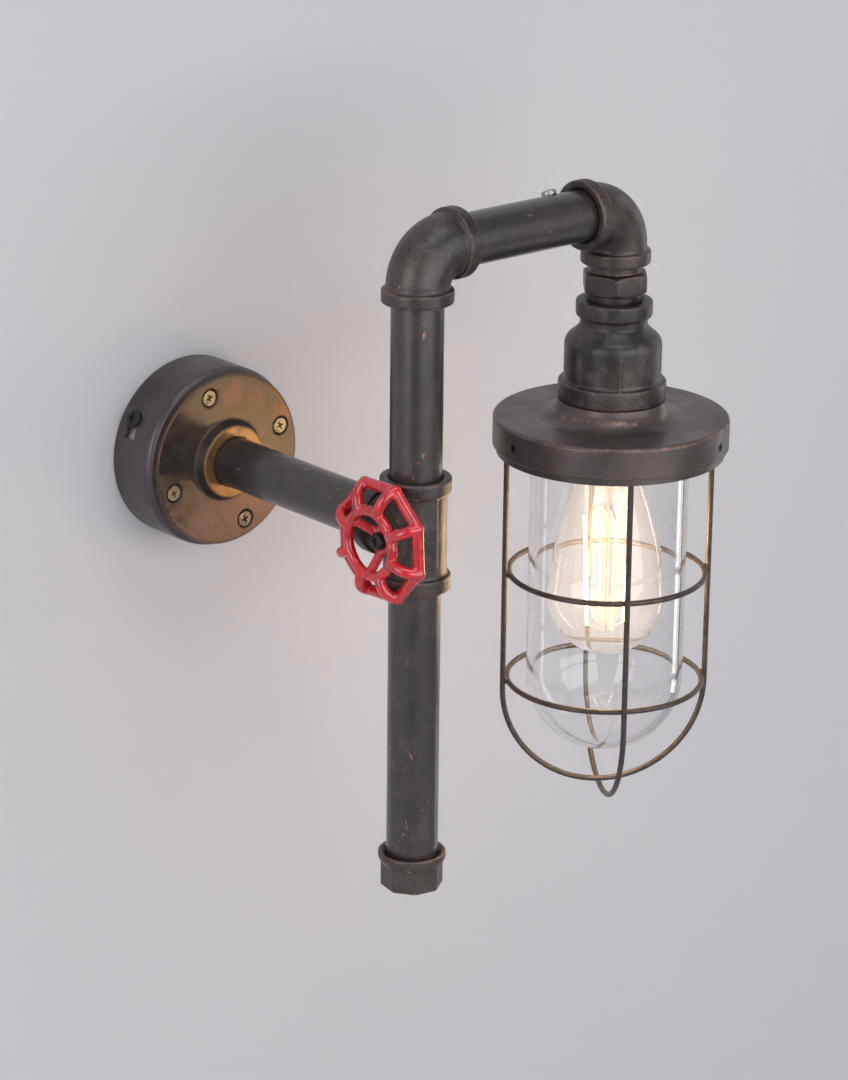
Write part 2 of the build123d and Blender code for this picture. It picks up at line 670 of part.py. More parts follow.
def handwheel():
    """One casting: hub, three spokes, round ring, and eight ribs that lean back to the rim."""
    knots = []
    spokes = []
    for i in range(WHEEL_SPOKES):
        turn = WHEEL_SPOKE_TURN + i * 360 / WHEEL_SPOKES
        joint = wheel_point(turn, WHEEL_RING_R, WHEEL_RING_X)
        knots.append(Pos(*joint) * Sphere(WHEEL_KNOT_R))
        spokes.append(bar(wheel_point(turn, *WHEEL_SPOKE_ROOT), joint, WHEEL_SPOKE_R))
    ring = UPRIGHT * to_the_left(Pos(0, 0, -WHEEL_RING_X) * Torus(WHEEL_RING_R, WHEEL_RING_BAR_R))
    centre = ring + knots + spokes
    centre += UPRIGHT * to_the_left(rod(HUB_R, -HUB_BACK_X, -HUB_FRONT_X))
    centre -= UPRIGHT * to_the_left(rod(STUD_R + RUNNING_GAP, 0, -WHEEL_RING_X))
    return handwheel_rim() + centre


def handwheel_stud():
    """Shouldered stud screwed into the tee's boss. The handwheel turns on its journal."""
    stud = rod(STUD_SHANK_R, -BOSS_ROOT_X, -BOSS_X)
    stud += rod(STUD_COLLAR_R, -BOSS_X, -STUD_SEAT_X)
    stud += rod(STUD_R, -STUD_SEAT_X, -STUD_END_X)
    stud -= rod(WHEEL_SCREW_R + THREAD_GAP, -BOSS_X - 3, -STUD_END_X)
    return UPRIGHT * to_the_left(stud)


def handwheel_washer():
    return UPRIGHT * to_the_left(
        tube(WASHER_R, WHEEL_SCREW_R + SCREW_CLEARANCE, -STUD_END_X, -STUD_END_X + WASHER_SHEET)
    )


def handwheel_screw():
    seat = -STUD_END_X + WASHER_SHEET
    tip = -BOSS_X - 2.5
    return UPRIGHT * to_the_left(
        pan_screw(WHEEL_SCREW_R, tip, seat, WHEEL_SCREW_HEAD_R, WHEEL_SCREW_HEAD)
    )


# ---- Lamp ----------------------------------------------------------------------------------
def hex_nipple():
    """Double nipple with a chamfered hexagon between its two threads."""
    corner_r = HEX_FLATS / sqrt(3)
    hexagon = prism(corner_r, 6, HEX_TURN, HEX_BOTTOM_Z, HEX_TOP_Z)
    crown = turned(
        (0, HEX_BOTTOM_Z),
        (HEX_FLATS / 2, HEX_BOTTOM_Z),
        (corner_r + 0.1, HEX_BOTTOM_Z + 1.6),
        (corner_r + 0.1, HEX_TOP_Z - 1.6),
        (HEX_FLATS / 2, HEX_TOP_Z),
        (0, HEX_TOP_Z),
    )
    top = ARM_RISE - ELBOW_DROP_FACE + THREAD_DEPTH
    body = (hexagon & crown) + rod(PIPE_R, REDUCER_TOP_Z - THREAD_DEPTH, top)
    return LAMP * (body - rod(NIPPLE_BORE_R, REDUCER_TOP_Z - THREAD_DEPTH, top))


def bell_reducer():
    """Cast reducing socket: small banded mouth above, wide banded mouth below, ribs on its body."""
    top = REDUCER_TOP_Z
    band_top = REDUCER_BAND_Z
    seat = CAP_SEAT_Z
    edge = 0.3
    spigot_r = SPIGOT_R + THREAD_GAP
    body = turned(
        (FITTING_BORE_R, top - THREAD_DEPTH),
        (SOCKET_R, top - THREAD_DEPTH),
        (SOCKET_R, top - REDUCER_MOUTH_FLARE),
        (SOCKET_R + REDUCER_MOUTH_FLARE, top),
        (REDUCER_TOP_R - 3 * edge, top),
        ((REDUCER_TOP_R - edge, top - edge), (REDUCER_TOP_R, top - 3 * edge)),
        (REDUCER_TOP_R, REDUCER_TOP_BAND_Z),
        ((REDUCER_TOP_R - edge, REDUCER_TOP_BAND_Z - 1), (REDUCER_NECK_R, REDUCER_NECK_Z[0])),
        (REDUCER_NECK_R, REDUCER_NECK_Z[1]),
        REDUCER_FLARE,
        REDUCER_SHOULDER,
        (REDUCER_BODY_R, band_top + 3 * edge),
        (REDUCER_BODY_R + 2 * edge, band_top),
        (REDUCER_BAND_R - 3 * edge, band_top),
        ((REDUCER_BAND_R - edge, band_top - edge), (REDUCER_BAND_R, band_top - 3 * edge)),
        (REDUCER_BAND_R, seat + 2 * edge),
        (REDUCER_BAND_R - 2 * edge, seat),
        (spigot_r, seat),
        (spigot_r, REDUCER_SOCKET_Z),
        (REDUCER_BODY_BORE_R, REDUCER_SOCKET_Z),
        (REDUCER_BODY_BORE_R, REDUCER_HOLLOW_Z[0]),
        (FITTING_BORE_R, REDUCER_HOLLOW_Z[1]),
    )
    rib = Pos(REDUCER_BODY_R - edge, 0, band_top - edge) * Box(*REDUCER_RIB, align=ON_END)
    for turn in REDUCER_RIB_TURNS:
        body += lamp_turn(turn) * rib
    return LAMP * body


def rim_hole(radius):
    """Radial hole at a rim screw, on the +X side."""
    return Pos(0, 0, RIM_SCREW_Z) * Rot(0, 90, 0) * rod(radius, COLLAR_R + 2 * CAP_SHEET, CAP_R + 1)


def shade_cap():
    """Disc with a rim below, a flared boss and closed spigot above, and a collar for the jar."""
    under = CAP_TOP_Z - CAP_SHEET
    edge = 0.5
    rim_r = HOOP_R + 0.2
    step_z = REDUCER_SOCKET_Z - 0.2
    collar_bore_r = JAR_R + JAR_GAP
    stud_r = STUD_TUBE_R + THREAD_GAP
    cap = turned(
        (stud_r, SPIGOT_TOP_Z - CAP_SHEET),
        (stud_r, SPIGOT_TOP_Z),
        (SPIGOT_CUP_R, SPIGOT_TOP_Z),
        (SPIGOT_CUP_R, step_z),
        (SPIGOT_R, step_z),
        (SPIGOT_R, CAP_SEAT_Z),
        (REDUCER_BAND_R, CAP_SEAT_Z),
        CAP_FLARE,
        (CAP_R - 4 * edge, CAP_TOP_Z),
        ((CAP_R - 1.2 * edge, CAP_TOP_Z - 1.2 * edge), (CAP_R, CAP_TOP_Z - 4 * edge)),
        (CAP_R, CAP_RIM_Z + edge),
        (CAP_R - edge, CAP_RIM_Z),
        (rim_r, CAP_RIM_Z),
        (rim_r, under),
        (COLLAR_R, under),
        (COLLAR_R, COLLAR_Z),
        (collar_bore_r, COLLAR_Z),
        (collar_bore_r, under),
        (GASKET_R[0] - CAP_SHEET, under),
        CAP_INSIDE_FLARE,
        (SPIGOT_BORE_R, CAP_SEAT_Z - CAP_SHEET),
        (SPIGOT_BORE_R, SPIGOT_TOP_Z - CAP_SHEET),
    )
    for turn in RIM_SCREW_TURNS:
        cap -= lamp_turn(turn) * rim_hole(RIM_SCREW_HEAD_R + THREAD_GAP)
    return LAMP * cap


def rim_screws():
    """Three small screws, sunk in the cap's rim, that hold the cage's hoop."""
    face = CAP_R - RIM_SCREW_SINK
    screw = rod(RIM_SCREW_R, HOOP_R - 1.5 * HOOP_SHEET, HOOP_R) + rod(RIM_SCREW_HEAD_R, HOOP_R, face)
    screw -= Pos(0, 0, face) * cross_recess(1.3 * RIM_SCREW_HEAD_R, 1.6 * RIM_SCREW_SINK)
    screw = Pos(0, 0, RIM_SCREW_Z) * Rot(0, 90, 0) * screw
    return Compound([LAMP * lamp_turn(turn) * screw for turn in RIM_SCREW_TURNS])


def cage_hoop():
    """Flat hoop inside the rim, turned in below, where the upright wires are welded to it."""
    hoop = tube(HOOP_R, HOOP_R - HOOP_SHEET, HOOP_Z, HOOP_TOP_Z)
    hoop += tube(HOOP_R - HOOP_SHEET / 2, HOOP_LIP_R, HOOP_Z, HOOP_Z + HOOP_LIP)
    for turn in RIM_SCREW_TURNS:
        hoop -= lamp_turn(turn) * rim_hole(RIM_SCREW_R + THREAD_GAP)
    return LAMP * hoop


def cage_ring(z):
    """Round wire ring that touches the upright wires from inside."""
    return LAMP * Pos(0, 0, z) * Torus(CAGE_R - 2 * CAGE_WIRE_R, CAGE_WIRE_R)


def cage_loop(turn, bend_z):
    """U of wire: down one side, round the bottom and up the other side."""
    down = Line((CAGE_R, 0, HOOP_Z), (CAGE_R, 0, bend_z))
    under = ThreePointArc((CAGE_R, 0, bend_z), (0, 0, bend_z - CAGE_R), (-CAGE_R, 0, bend_z))
    up = Line((-CAGE_R, 0, bend_z), (-CAGE_R, 0, HOOP_Z))
    return LAMP * lamp_turn(turn) * swept(Wire([down, under, up]), CAGE_WIRE_R)


def glass_jar():
    """Clear jar with a straight wall, a domed bottom and a rounded lip inside the cap's collar."""
    inner_r = JAR_R - JAR_WALL
    slant = sqrt(0.5)
    lip = JAR_WALL / 2
    return LAMP * turned(
        (0, JAR_DOME_Z - JAR_R),
        ((JAR_R * slant, JAR_DOME_Z - JAR_R * slant), (JAR_R, JAR_DOME_Z)),
        (JAR_R, JAR_TOP_Z - lip),
        ((JAR_R - lip, JAR_TOP_Z), (inner_r, JAR_TOP_Z - lip)),
        (inner_r, JAR_DOME_Z),
        ((inner_r * slant, JAR_DOME_Z - inner_r * slant), (0, JAR_DOME_Z - inner_r)),
    )


def jar_gasket():
    return LAMP * tube(GASKET_R[1], GASKET_R[0], *GASKET_Z)


# ---- Lampholder ------------------------------------------------------------------------------
def lampholder():
    """Holder body, open below for the bulb's base and closed above round its terminals."""
    bore_r = SHELL_R + THREAD_GAP
    floor_low, floor_high = HOLDER_FLOOR_Z
    stud_r = STUD_TUBE_R + THREAD_GAP
    return LAMP * turned(
        (bore_r, HOLDER_MOUTH_Z),
        (HOLDER_R, HOLDER_MOUTH_Z),
        (HOLDER_R, floor_high),
        (HOLDER_CONE_R, HOLDER_TOP_Z),
        (stud_r, HOLDER_TOP_Z),
        (stud_r, HOLDER_ROOF_Z),
        (HOLDER_CONE_R - HOLDER_SHEET, HOLDER_ROOF_Z),
        (HOLDER_CONE_R, floor_high),
        (0, floor_high),
        (0, floor_low),
        (bore_r, floor_low),
    )


def screw_shell():
    """Brass sleeve that the bulb's base turns in."""
    return LAMP * tube(SHELL_R, BASE_R + BASE_GAP, *SHELL_Z)


def centre_contact():
    """Brass tongue under the holder's floor, just above the bulb's contact."""
    length, width, sheet = TONGUE_SIZE
    floor = HOLDER_FLOOR_Z[0]
    tongue = Pos(length / 2 - TONGUE_TIP_R, 0, floor - sheet / 2) * Box(length, width, sheet)
    tongue += rod(TONGUE_TIP_R, BULB_CONTACT_Z[1] + TONGUE_GAP, floor - sheet / 2)
    return LAMP * tongue


def holder_stud():
    """Hollow threaded stud that hangs the holder from the cap's spigot."""
    return LAMP * tube(STUD_TUBE_R, STUD_TUBE_BORE_R, *STUD_TUBE_Z)


def holder_nuts():
    """One nut above the spigot's web and a thin one under it."""
    bore_r = STUD_TUBE_R + THREAD_GAP
    below = nut(STUD_NUT_FLATS, bore_r, HOLDER_TOP_Z, SPIGOT_TOP_Z - CAP_SHEET)
    above = nut(STUD_NUT_FLATS, bore_r, SPIGOT_TOP_Z, SPIGOT_TOP_Z + STUD_NUT_HEIGHT)
    return Compound([LAMP * below, LAMP * above])


# ---- Bulb ----------------------------------------------------------------------------------
def bulb_outline(offset):
    """Outline of the bulb's glass, drawn in by an offset, from its neck to its bottom."""
    neck_r = BULB_NECK_R - offset
    throat_r, throat_z = BULB_THROAT
    shoulder_r, shoulder_z = BULB_SHOULDER
    widest = BULB_R - offset
    low = BULB_WIDEST_Z - widest
    slant = sqrt(0.5)
    return [
        (neck_r, BASE_Z[0]),
        (throat_r - offset, throat_z),
        ((shoulder_r - offset, shoulder_z), (widest, BULB_WIDEST_Z)),
        ((widest * slant, BULB_WIDEST_Z - widest * slant), (0, low)),
    ]


def bulb_glass():
    """Blown envelope, hollow, open at the top of its neck."""
    solids = []
    for offset in (0, BULB_WALL):
        top = BULB_NECK_TOP_Z + offset
        solids.append(turned((0, top), (BULB_NECK_R - offset, top), *bulb_outline(offset)))
    return LAMP * (solids[0] - solids[1])


def bulb_base():
    """Screw base: a thin brass shell round the neck."""
    return LAMP * tube(BASE_R, BASE_R - BASE_SHEET, *BASE_Z)


def bulb_insulator():
    """Glass cone that closes the base and carries its contact."""
    shell_r = BASE_R - BASE_SHEET
    top = BASE_Z[1]
    return LAMP * turned(
        (0, top - 1.5),
        (shell_r, top - 1.5),
        (shell_r, top),
        (BULB_CONTACT_R + 0.5, BULB_CONTACT_Z[0]),
        (0, BULB_CONTACT_Z[0]),
    )


def bulb_contact():
    button = rod(BULB_CONTACT_R, *BULB_CONTACT_Z)
    return LAMP * fillet(button.edges().sort_by(Axis.Z)[-1], 0.8)


def bulb_stem():
    """Glass pillar that flares to the neck, with a thin rod below it."""
    low, foot = STEM_Z
    return LAMP * turned(
        (0, STEM_FLARE_Z[0]),
        (STEM_FLARE_R, STEM_FLARE_Z[0]),
        (STEM_FLARE_R, STEM_FLARE_Z[1]),
        STEM_CURVE,
        (STEM_R, low),
        (STEM_ROD_R, STEM_ROD_TOP_Z),
        (STEM_ROD_R, foot),
        (0, foot),
    )


def filament_point(i, radius, z):
    turn = radians(FILAMENT_TURN + i * 360 / FILAMENTS)
    return (radius * cos(turn), radius * sin(turn), z)


def filament_ends(i):
    return filament_point(i, *FILAMENT_TOP), filament_point(i, *FILAMENT_BOTTOM)


def bulb_filaments():
    """Four straight light-emitting sticks, drawn in a little at the bottom."""
    return Compound([LAMP * bar(*filament_ends(i), FILAMENT_R) for i in range(FILAMENTS)])


def filament_wires():
    """Wires from the stem to the filaments' tops, and from its rod to their bottoms."""
    low, foot = STEM_Z
    wires = []
    for i in range(FILAMENTS):
        top, bottom = filament_ends(i)
        stem_root = filament_point(i, STEM_R, low + LEAD_WIRE_REACH)
        rod_root = filament_point(i, STEM_ROD_R, foot + LEAD_WIRE_REACH)
        wires.append(LAMP * bar(stem_root, top, LEAD_WIRE_R))
        wires.append(LAMP * bar(rod_root, bottom, LEAD_WIRE_R))
    return Compound(wires)


PARTS = {
    "wall_bracket": wall_bracket,
    "side_screws": side_screws,
    "earth_screw": earth_screw,
    "earth_lug": earth_lug,
    "earth_lead": earth_lead,
    "terminal_block": terminal_block,
    "terminal_screws": terminal_screws,
    "canopy": canopy,
    "floor_flange": floor_flange,
    "flange_screws": flange_screws,
    "flange_nuts": flange_nuts,
    "cable_grommet": cable_grommet,
    "inner_cable": inner_cable,
    "live_core": lambda: core(-1),
    "neutral_core": lambda: core(1),
    "wall_pipe": wall_pipe,
    "tee": tee,
    "lower_pipe": lower_pipe,
    "bottom_cap": bottom_cap,
    "upper_pipe": upper_pipe,
    "rear_elbow": rear_elbow,
    "top_pipe": top_pipe,
    "arm_lock_screw": arm_lock_screw,
    "front_elbow": front_elbow,
    "handwheel": handwheel,
    "handwheel_stud": handwheel_stud,
    "handwheel_washer": handwheel_washer,
    "handwheel_screw": handwheel_screw,
    "hex_nipple": hex_nipple,
    "bell_reducer": bell_reducer,
    "shade_cap": shade_cap,
    "rim_screws": rim_screws,
    "cage_hoop": cage_hoop,
    "cage_upper_ring": lambda: cage_ring(CAGE_RING_Z[0]),
    "cage_lower_ring": lambda: cage_ring(CAGE_RING_Z[1]),
    "cage_side_loop": lambda: cage_loop(SIDE_LOOP_TURN, SIDE_LOOP_BEND_Z),
    "cage_front_loop": lambda: cage_loop(FRONT_LOOP_TURN, FRONT_LOOP_BEND_Z),
    "glass_jar": glass_jar,
    "jar_gasket": jar_gasket,
    "lampholder": lampholder,
    "screw_shell": screw_shell,
    "centre_contact": centre_contact,
    "holder_stud": holder_stud,
    "holder_nuts": holder_nuts,
    "bulb_glass": bulb_glass,
    "bulb_base": bulb_base,
    "bulb_insulator": bulb_insulator,
    "bulb_contact": bulb_contact,
    "bulb_stem": bulb_stem,
    "bulb_filaments": bulb_filaments,
    "filament_wires": filament_wires,
}

os.makedirs("parts", exist_ok=True)
for name, make in PARTS.items():
    export_step(make(), f"parts/{name}.step")
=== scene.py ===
"""Looks for the industrial pipe wall light: finishes, castings, glass, welds, wall, lights, camera."""

from math import cos, pi, radians, sin

import bmesh
import bpy
from mathutils import Matrix, Vector, noise


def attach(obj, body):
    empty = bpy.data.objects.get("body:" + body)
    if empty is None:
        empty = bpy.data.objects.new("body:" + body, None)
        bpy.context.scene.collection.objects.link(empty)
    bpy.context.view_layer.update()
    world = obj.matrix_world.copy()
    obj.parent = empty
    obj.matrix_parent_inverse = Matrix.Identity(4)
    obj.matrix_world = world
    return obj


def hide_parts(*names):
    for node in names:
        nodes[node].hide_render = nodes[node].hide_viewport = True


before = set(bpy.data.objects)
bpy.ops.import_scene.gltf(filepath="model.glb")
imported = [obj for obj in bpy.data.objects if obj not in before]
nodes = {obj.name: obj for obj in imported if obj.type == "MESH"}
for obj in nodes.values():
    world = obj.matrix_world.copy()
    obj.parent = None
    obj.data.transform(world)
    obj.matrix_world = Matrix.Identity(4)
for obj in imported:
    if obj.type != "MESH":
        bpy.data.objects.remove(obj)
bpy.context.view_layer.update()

# ---- Camera, in metres and degrees ---------------------------------------------------------
CAMERA_PLACE = (-1.17810, -1.53762, 0.61615)
CAMERA_AZIMUTH = -41.268
CAMERA_ELEVATION = 19.114
CAMERA_ROLL = 0.651
CAMERA_LENS = 124.91

# ---- Places on the object, in metres -------------------------------------------------------
UPRIGHT_Y = -0.1883         # axis of the upright pipe, in front of the wall
LAMP_X = 0.1357             # axis of the lamp
LAMP_PLACE = (LAMP_X, UPRIGHT_Y, 0.0)
BULB_CENTRE_Z = -0.052
WIRING_HOLE = 0.064         # square hole in the wall, behind the canopy
CAGE_R = 0.0552             # centreline of the upright wires
CAGE_WIRE_R = 0.0015
CAGE_RING_Z = (-0.0516, -0.112)
CAGE_FOOT_Z = 0.0158        # the upright wires meet the hoop here
CAGE_TURNS = (-122.5, -32.5, 57.5, 147.5)   # from -Y towards +X
FLANGE_FACE_Y = -0.0354
FLANGE_SCREW_R = 0.038
FLANGE_SCREW_TURNS = (18.0, 108.0, 198.0, 288.0)
FLANGE_HUB_Y = -0.0412
COUNTERSINK_EDGE = (0.0062, 0.0052)     # from clean face to dark countersink
SHADE_RUBS = ((0.0619, 0.0350, 0.0010), (0.0308, 0.0393, 0.0022))   # radius, height, reach
JAR_R = 0.042
JAR_WALL = 0.0036
JAR_TOP_Z = 0.0312
JAR_DOME_Z = -0.109
FILAMENT_TURN = 65.0
WELD_SIZE = (0.00165, 0.00165, 0.00185)
SAME_POINT = 1e-6
JAR_SEGMENTS = 192
DOME_STEPS = 40
LIP_STEPS = 14
JAR_STEP = 0.004            # longest piece of the jar's straight walls

# ---- Scene round the object ----------------------------------------------------------------
WALL_Y = 0.0006             # just behind the canopy
WALL_SIZE = (7.0, 5.4)
FLOOR_PLACE = (0.0, -3.0, -1.2)
FLOOR_SIZE = (7.0, 6.0)
LIGHT_TARGET = (0.06, -0.15, 0.0)
SKY_STRENGTH = 0.38
# Strength of the painted glow on the bulb's glass.
BULB_PAINTED_GLOW = 0.13


def srgb(red, green, blue):
    """Linear colour with alpha, from screen values of 0 to 255."""
    parts = [value / 255 for value in (red, green, blue)]
    linear = [p / 12.92 if p <= 0.04045 else ((p + 0.055) / 1.055) ** 2.4 for p in parts]
    return (*linear, 1.0)


# ---- Colours -------------------------------------------------------------------------------
SOOT = srgb(46, 42, 41)
UMBER = srgb(78, 68, 62)
PLUM = srgb(82, 74, 77)
COPPER = srgb(182, 124, 102)
BRONZE = srgb(78, 68, 57)
BRONZE_COPPER = srgb(98, 73, 59)
BRONZE_ROSE = srgb(104, 82, 73)
BRONZE_DARK = srgb(58, 49, 46)
# Painted warm light for the flange hub's front face, not a colour of the bronze.
BRONZE_PAINTED_GLOW = srgb(128, 97, 62)
PIPE_DARK = srgb(57, 52, 51)
PIPE_BROWN = srgb(68, 62, 60)
PIPE_PLUM = srgb(74, 67, 69)
ENAMEL = srgb(200, 16, 32)
ENAMEL_DEEP = srgb(156, 8, 22)
WALL_COLOUR = srgb(200, 199, 204)
FLOOR_COLOUR = srgb(206, 205, 208)
SKY_COLOUR = srgb(212, 212, 216)
WARM = (1.0, 0.66, 0.34)
# Colour of the painted glow on the bulb's glass.
PAINTED_GLOW_COLOUR = (1.0, 0.72, 0.50, 1.0)


# ---- Materials -----------------------------------------------------------------------------
class Finish:
    """One procedural material. Each method adds a node and returns its output."""

    def __init__(self, name, sockets):
        self.material = bpy.data.materials.new(name)
        self.material.use_nodes = True
        self.tree = self.material.node_tree
        self.shader = self.tree.nodes["Principled BSDF"]
        self.output = self.tree.nodes["Material Output"]
        self.place = self.tree.nodes.new("ShaderNodeTexCoord").outputs["Object"]
        for socket, value in sockets.items():
            self.put(socket, value)

    def put(self, socket, value):
        self.join(self.shader.inputs[socket], value)

    def join(self, socket, value):
        if isinstance(value, bpy.types.NodeSocket):
            self.tree.links.new(value, socket)
        else:
            socket.default_value = value

    def node(self, kind, inputs, **settings):
        node = self.tree.nodes.new(kind)
        for setting, value in settings.items():
            setattr(node, setting, value)
        for key, value in inputs.items():
            self.join(node.inputs[key], value)
        return node

    def noise(self, size, detail=3.0, roughness=0.5, stretch=(1, 1, 1), offset=(0, 0, 0)):
        """Noise with features of about that size in metres, longer along an axis by its stretch."""
        scale = [1 / part for part in stretch]
        inputs = {"Vector": self.place, "Scale": scale, "Location": offset}
        place = self.node("ShaderNodeMapping", inputs).outputs[0]
        inputs = {"Vector": place, "Scale": 1 / size, "Detail": detail, "Roughness": roughness}
        return self.node("ShaderNodeTexNoise", inputs).outputs[0]

    def step(self, value, low, high):
        """0 below low and 1 above high, with a soft edge. With low above high it falls."""
        inputs = {"Value": value, "From Min": low, "From Max": high}
        return self.node("ShaderNodeMapRange", inputs, interpolation_type="SMOOTHSTEP").outputs[0]

    def span(self, value, low, high):
        """Noise from its usual reach of 0.3 to 0.7 to the given range."""
        inputs = {"Value": value, "From Min": 0.3, "From Max": 0.7, "To Min": low, "To Max": high}
        return self.node("ShaderNodeMapRange", inputs).outputs[0]

    def mix(self, factor, first, second):
        inputs = {0: factor, 6: first, 7: second}
        return self.node("ShaderNodeMix", inputs, data_type="RGBA").outputs[2]

    def math(self, operation, first, second):
        return self.node("ShaderNodeMath", {0: first, 1: second}, operation=operation).outputs[0]

    def times(self, first, second):
        return self.math("MULTIPLY", first, second)

    def most(self, first, second):
        return self.math("MAXIMUM", first, second)

    def ridges(self, low=0.508, high=0.575):
        """High on outer edges, from the curvature of a dense mesh."""
        return self.step(self.node("ShaderNodeNewGeometry", {}).outputs["Pointiness"], low, high)

    def edges(self, radius):
        """High within about that distance of any sharp edge."""
        rounded = self.node("ShaderNodeBevel", {"Radius": radius}, samples=6).outputs[0]
        flat = self.node("ShaderNodeNewGeometry", {}).outputs["Normal"]
        agree = self.node("ShaderNodeVectorMath", {0: rounded, 1: flat}, operation="DOT_PRODUCT")
        return self.step(agree.outputs["Value"], 0.985, 0.80)

    def relief(self, height, depth, under=None):
        """Bump of that depth in metres, on top of another bump."""
        inputs = {"Height": height, "Distance": depth}
        if under is not None:
            inputs["Normal"] = under
        return self.node("ShaderNodeBump", inputs).outputs[0]


def aged_iron(name, cast, wear, edge_wear, tone=SOOT):
    """Black-brown patina on a casting, with coppery rubs. cast is how rough the surface is."""
    finish = Finish(name, {"Specular IOR Level": 0.9})
    broad = finish.noise(0.028, 3.0, 0.55)
    cloud = finish.noise(0.011, 4.0, 0.6, (1, 1, 1), (3, 1, 2))
    grain = finish.noise(0.0011, 5.0, 0.65)
    colour = finish.mix(finish.step(broad, 0.40, 0.64), tone, UMBER)
    colour = finish.mix(finish.step(cloud, 0.48, 0.70), colour, PLUM)
    colour = finish.mix(finish.step(grain, 0.52, 0.34), colour, SOOT)
    patch = finish.step(finish.noise(0.017, 2.0, 0.5, (1, 1, 1), (7, 5, 1)), 0.50, 0.66)
    speck = finish.step(finish.noise(0.0016, 6.0, 0.72, (1, 1, 1), (2, 8, 4)), 0.60, 0.68)
    rub = finish.times(finish.times(patch, speck), wear)
    edge = finish.times(finish.ridges(), finish.step(finish.noise(0.006, 4.0, 0.6), 0.42, 0.60))
    rub = finish.most(rub, finish.times(edge, edge_wear))
    finish.put("Base Color", finish.mix(rub, colour, COPPER))
    finish.put("Metallic", finish.span(finish.noise(0.02, 2.0), 0.35, 0.6))
    finish.put("Roughness", finish.span(cloud, 0.32, 0.46))
    waves = finish.relief(finish.noise(0.0045, 3.0, 0.5), 0.00018 * cast)
    finish.put("Normal", finish.relief(grain, 0.00007 * cast, waves))
    return finish.material


def near_ring(finish, radius, z, reach):
    """High within a distance of a ring about the lamp's axis."""
    spot = finish.node("ShaderNodeSeparateXYZ", {0: finish.place})
    across = finish.math("SUBTRACT", spot.outputs["X"], LAMP_X)
    away = finish.math("SUBTRACT", spot.outputs["Y"], UPRIGHT_Y)
    out = finish.node("ShaderNodeCombineXYZ", {0: across, 1: away})
    out = finish.node("ShaderNodeVectorMath", {0: out.outputs[0]}, operation="LENGTH").outputs["Value"]
    wide = finish.math("SUBTRACT", out, radius)
    high = finish.math("SUBTRACT", spot.outputs["Z"], z)
    squares = finish.math("ADD", finish.times(wide, wide), finish.times(high, high))
    apart = finish.math("SQRT", squares, 0.0)
    return finish.step(apart, reach, 0.4 * reach)


def sheet_iron(name, tone, second, wear, edge_wear, rubbed_rings=()):
    """Satin patina on pressed or spun sheet, rubbed to copper in a few places and on its edges."""
    finish = Finish(name, {"Specular IOR Level": 0.6})
    broad = finish.noise(0.035, 2.0, 0.5)
    cloud = finish.noise(0.014, 3.0, 0.5, (1, 1, 1), (3, 1, 2))
    grain = finish.noise(0.0009, 4.0, 0.6)
    colour = finish.mix(finish.step(broad, 0.38, 0.66), tone, second)
    colour = finish.mix(finish.times(finish.step(grain, 0.50, 0.36), 0.35), colour, SOOT)
    patch = finish.step(finish.noise(0.016, 2.0, 0.5, (1, 1, 1), (7, 5, 1)), 0.52, 0.66)
    speck = finish.step(finish.noise(0.0022, 6.0, 0.72, (1, 1, 1), (2, 8, 4)), 0.58, 0.66)
    rub = finish.times(finish.times(patch, speck), wear)
    edge = finish.times(finish.edges(0.0009), finish.step(finish.noise(0.005, 4.0, 0.6), 0.44, 0.58))
    rub = finish.most(rub, finish.times(edge, edge_wear))
    worn = finish.step(finish.noise(0.0035, 5.0, 0.7, (1, 1, 1), (9, 2, 5)), 0.48, 0.66)
    for radius, z, reach in rubbed_rings:
        ring = finish.times(near_ring(finish, radius, z, reach), worn)
        rub = finish.most(rub, finish.times(ring, edge_wear))
    finish.put("Base Color", finish.mix(rub, colour, COPPER))
    finish.put("Metallic", finish.span(broad, 0.4, 0.6))
    finish.put("Roughness", finish.span(cloud, 0.30, 0.42))
    waves = finish.relief(finish.noise(0.009, 2.0, 0.5), 0.00008)
    finish.put("Normal", finish.relief(grain, 0.00002, waves))
    return finish.material


def pipe_iron(name, axis):
    """Drawn steel pipe: fine lines along its axis under the patina, and a few long scratches."""
    stretch = [1, 1, 1]
    stretch["XYZ".index(axis)] = 14
    finish = Finish(name, {"Specular IOR Level": 1.0, "Coat Weight": 0.4, "Coat Roughness": 0.2})
    broad = finish.noise(0.03, 3.0, 0.55)
    lines = finish.noise(0.0010, 4.0, 0.6, stretch)
    cloud = finish.noise(0.012, 4.0, 0.6, (1, 1, 1), (3, 1, 2))
    colour = finish.mix(finish.step(broad, 0.36, 0.68), PIPE_DARK, PIPE_BROWN)
    colour = finish.mix(finish.step(cloud, 0.42, 0.76), colour, PIPE_PLUM)
    patch = finish.step(finish.noise(0.022, 2.0, 0.5, (1, 1, 1), (7, 5, 1)), 0.52, 0.66)
    short_stretch = [1 + (part - 1) * 0.12 for part in stretch]
    scratch = finish.step(finish.noise(0.0021, 5.0, 0.7, short_stretch), 0.60, 0.66)
    rub = finish.times(patch, scratch)
    finish.put("Base Color", finish.mix(rub, colour, COPPER))
    finish.put("Metallic", finish.span(broad, 0.45, 0.6))
    finish.put("Roughness", finish.span(cloud, 0.29, 0.34))
    waves = finish.relief(finish.noise(0.006, 2.0, 0.5), 0.00006)
    finish.put("Normal", finish.relief(lines, 0.00003, waves))
    return finish.material


def near_screws(finish):
    """High inside the flange's four countersinks."""
    nearest = 1.0
    for turn in FLANGE_SCREW_TURNS:
        spot = (
            FLANGE_SCREW_R * cos(radians(turn)),
            FLANGE_FACE_Y,
            FLANGE_SCREW_R * sin(radians(turn)),
        )
        apart = finish.node("ShaderNodeVectorMath", {0: finish.place, 1: spot}, operation="DISTANCE")
        nearest = finish.math("MINIMUM", apart.outputs["Value"], nearest)
    return finish.step(nearest, *COUNTERSINK_EDGE)


